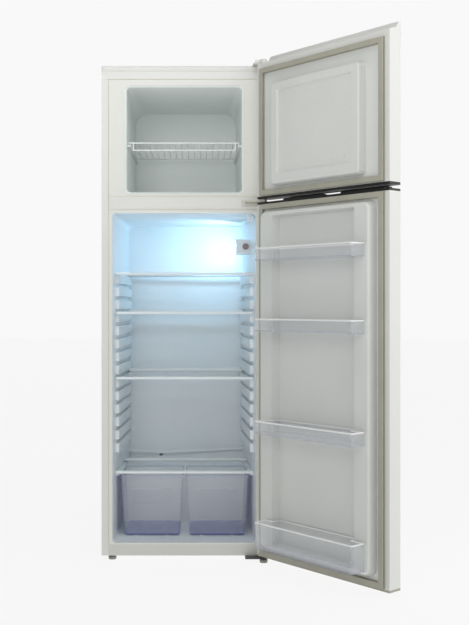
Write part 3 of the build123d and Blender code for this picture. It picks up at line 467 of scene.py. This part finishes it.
def gasket_ring(node):
    """Mitred rubber ring in the place of a CAD gasket."""
    low, high = shut_box(node)
    bpy.ops.object.select_all(action="DESELECT")
    bpy.ops.mesh.primitive_plane_add(size=1.0)
    ring = bpy.context.object
    ring.name = node + "_ring"
    bpy.ops.object.mode_set(mode="EDIT")
    bpy.ops.mesh.delete(type="ONLY_FACE")
    work = bmesh.from_edit_mesh(ring.data)
    corners = [(vertex.co.x > 0, vertex.co.y > 0) for vertex in work.verts]
    set_loop(list(work.verts), corners, *profile[0], low, high)
    bpy.ops.mesh.select_all(action="SELECT")
    for inset, height in profile[1:]:
        bpy.ops.mesh.extrude_edges_move()
        work = bmesh.from_edit_mesh(ring.data)
        fresh = [vertex for vertex in work.verts if vertex.select]
        middle_x = sum(vertex.co.x for vertex in fresh) / len(fresh)
        middle_z = sum(vertex.co.z for vertex in fresh) / len(fresh)
        sides = [(vertex.co.x > middle_x, vertex.co.z > middle_z) for vertex in fresh]
        set_loop(fresh, sides, inset, height, low, high)
    bmesh.update_edit_mesh(ring.data)
    bpy.ops.mesh.select_all(action="DESELECT")
    bpy.ops.mesh.select_mode(type="EDGE")
    bpy.ops.mesh.select_non_manifold()
    bpy.ops.mesh.bridge_edge_loops()
    bpy.ops.mesh.select_all(action="SELECT")
    bpy.ops.mesh.normals_make_consistent(inside=False)
    bpy.ops.mesh.select_mode(type="VERT")
    bpy.ops.object.mode_set(mode="OBJECT")
    ring.data.transform(swing)
    ring.data.materials.append(gasket_rubber.material)
    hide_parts(node)
    print(ring.name, len(ring.data.vertices), "vertices")
    return ring


for door in ("freezer_door", "fridge_door"):
    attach(gasket_ring(door + "_gasket"), door)

# %% [markdown]
# **Screws.** The hinges' screws are pan heads with a cross slot. Each starts as a cylinder with a
# rounded edge, and two thin boxes cut the cross with a boolean. The CAD node holds all the heads, so the
# box round each separate piece of its mesh gives one head its place, its width and the way it points.

# %% Cross-slotted screw heads
def islands(mesh):
    """Boxes of the mesh's separate pieces; faces whose boxes touch belong to one piece."""
    boxes = []
    for face in mesh.polygons:
        points = [mesh.vertices[index].co for index in face.vertices]
        low = Vector(min(point[axis] for point in points) for axis in range(3))
        high = Vector(max(point[axis] for point in points) for axis in range(3))
        apart = []
        for other_low, other_high in boxes:
            gaps = [max(low[axis] - other_high[axis], other_low[axis] - high[axis]) for axis in range(3)]
            if max(gaps) < 1e-4:
                low = Vector(map(min, low, other_low))
                high = Vector(map(max, high, other_high))
            else:
                apart.append((other_low, other_high))
        boxes = [*apart, (low, high)]
    return boxes


def screw_head(index, low, high):
    """Pan head whose thin direction is the box's thinnest, its slot on the open side."""
    size = high - low
    thin = min(range(3), key=lambda axis: size[axis])
    radius, depth = max(size) / 2, size[thin]
    bpy.ops.object.select_all(action="DESELECT")
    bpy.ops.mesh.primitive_cylinder_add(vertices=32, radius=radius, depth=depth)
    head = bpy.context.object
    head.name = f"screw_head_{index}"
    head.location.z = depth / 2
    bpy.ops.object.transform_apply(location=True)
    rounding = head.modifiers.new("rounding", "BEVEL")
    rounding.width, rounding.segments, rounding.limit_method = depth * 0.4, 3, "ANGLE"
    bpy.ops.object.modifier_apply(modifier="rounding")
    for turn in (0.0, math.pi / 2):
        bpy.ops.mesh.primitive_cube_add(size=1.0, location=(0, 0, depth))
        cutter = bpy.context.object
        cutter.scale = (radius * 1.1, radius * 0.24, depth)
        cutter.rotation_euler.z = turn
        bpy.ops.object.transform_apply(location=True, rotation=True, scale=True)
        bpy.ops.object.select_all(action="DESELECT")
        bpy.context.view_layer.objects.active = head
        cross = head.modifiers.new("cross", "BOOLEAN")
        cross.operation, cross.object, cross.solver = "DIFFERENCE", cutter, "EXACT"
        bpy.ops.object.modifier_apply(modifier="cross")
        bpy.data.objects.remove(cutter, do_unlink=True)
    outward = {1: Vector((0, -1, 0)), 2: Vector((0, 0, 1 if low.z > 1 else -1))}[thin]
    turn = outward.to_track_quat("Z", "X").to_matrix().to_4x4()
    seat = (low + high) / 2 - outward * depth / 2
    head.data.transform(Matrix.Translation(seat) @ turn)
    head.data.materials.append(zinc_steel.material)
    return head


heads = [screw_head(index, *box) for index, box in enumerate(islands(nodes["hinge_screws"].data))]
for head in heads:
    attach(head, "cabinet")
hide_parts("hinge_screws")
print("screw heads:", len(heads))

# %% [markdown]
# **The studio.** A pale seamless floor and a white surround that is brighter on the right. Three soft
# lamps: one broad from the right, which brightens the doors' free edges, a fill from the front, which
# reaches into the compartments, and one overhead. The refrigerator's own lamp adds a cool light at the
# top of the larder.

# %% Floor and surround
bpy.ops.mesh.primitive_plane_add(size=40.0, location=(0, 0, 0))
floor = bpy.context.object
floor.name = "studio_floor"
floor_finish = Finish("floor_white", Specular_IOR_Level=0.1, Roughness=0.9, Emission_Strength=1.0)
speckle = floor_finish.noise(3.0, 2.0)


def grey(value):
    """A neutral tone in linear light."""
    return (value, value, value, 1.0)


floor_finish.set("Base Color", floor_finish.blend(speckle, grey(0.07), grey(0.075)))
floor_finish.set("Emission Color", floor_finish.blend(speckle, grey(0.875), grey(0.88)))
floor.data.materials.append(floor_finish.material)

world = bpy.data.worlds.new("surround")
bpy.context.scene.world = world
world.use_nodes = True
sky = world.node_tree


def sky_node(kind, operation, first, second=None):
    """A node of the surround, fed by sockets or plain values."""
    made = sky.nodes.new(kind)
    if operation:
        made.operation = operation
    for index, value in enumerate((first, second)):
        if isinstance(value, bpy.types.NodeSocket):
            sky.links.new(value, made.inputs[index])
        elif value is not None:
            made.inputs[index].default_value = value
    return made.outputs


backdrop_white = 0.945  # straight behind the object
sky_middle, sky_slope, sky_least = 0.10, 0.85, 0.12
direction = sky.nodes.new("ShaderNodeTexCoord").outputs["Generated"]
toward = sky_node("ShaderNodeSeparateXYZ", None, direction)
slope = sky_node("ShaderNodeMath", "MULTIPLY", toward[0], sky_slope)[0]
sloped = sky_node("ShaderNodeMath", "ADD", slope, sky_middle)[0]
lit = sky_node("ShaderNodeMath", "MAXIMUM", sloped, sky_least)[0]
behind = sky_node("ShaderNodeMath", "GREATER_THAN", toward[1], 0.8)[0]
rest = sky_node("ShaderNodeMath", "SUBTRACT", backdrop_white, lit)[0]
share = sky_node("ShaderNodeMath", "MULTIPLY", rest, behind)[0]
strength = sky_node("ShaderNodeMath", "ADD", lit, share)[0]
background = sky.nodes["Background"].inputs
background["Color"].default_value = (1.0, 1.0, 1.0, 1.0)
sky.links.new(strength, background["Strength"])


def soft_lamp(name, at, towards, width, height, power, colour=(1, 1, 1)):
    """Rectangular area lamp."""
    data = bpy.data.lights.new(name, "AREA")
    data.shape = "RECTANGLE"
    data.size, data.size_y = width, height
    data.energy, data.color = power, colour
    lamp = bpy.data.objects.new(name, data)
    lamp.location = at
    lamp.rotation_euler = (Vector(towards) - Vector(at)).to_track_quat("-Z", "Y").to_euler()
    bpy.context.scene.collection.objects.link(lamp)
    return lamp


soft_lamp("right_softbox", (3.2, -1.8, 2.2), (0.4, -0.3, 1.1), 1.6, 2.4, 32.0)
soft_lamp("front_fill", (-0.30, -2.5, 1.75), (0.1, 0.0, 1.1), 1.2, 1.0, 13.0)
soft_lamp("overhead", (0.1, -1.6, 3.1), (0.1, -0.3, 1.0), 1.6, 1.2, 15.0)

lens_low, lens_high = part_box("lamp_lens")
glow = bpy.data.lights.new("larder_lamp", "AREA")
glow.shape = "RECTANGLE"
glow.size, glow.size_y = 0.05, 0.05
glow.energy, glow.color = 0.85, (0.42, 0.74, 1.0)
glow_lamp = bpy.data.objects.new("larder_lamp", glow)
lens_middle = (lens_low + lens_high) / 2
glow_lamp.location = (lens_low.x - 0.012, lens_middle.y + 0.01, lens_middle.z)
glow_lamp.rotation_euler = Vector((-1, 0.9, -0.1)).to_track_quat("-Z", "Y").to_euler()
bpy.context.scene.collection.objects.link(glow_lamp)

# %% [markdown]
# **The camera** stands level, a little above half the height of the cabinet, far enough away for gentle
# perspective. The lens shift frames the object without tilting the camera, so uprights stay upright.

# %% Camera
camera = bpy.data.cameras.new("camera")
camera.lens = 56.2
camera.shift_x = 0.0568
camera.shift_y = -0.0136
viewer = bpy.data.objects.new("camera", camera)
viewer.location = (0.049, -3.475, 0.845)
viewer.rotation_euler = (math.pi / 2, 0, 0)
bpy.context.scene.collection.objects.link(viewer)
bpy.context.scene.camera = viewer
bpy.context.scene.view_settings.view_transform = "Standard"
bpy.context.scene.cycles.transparent_max_bounces = 32
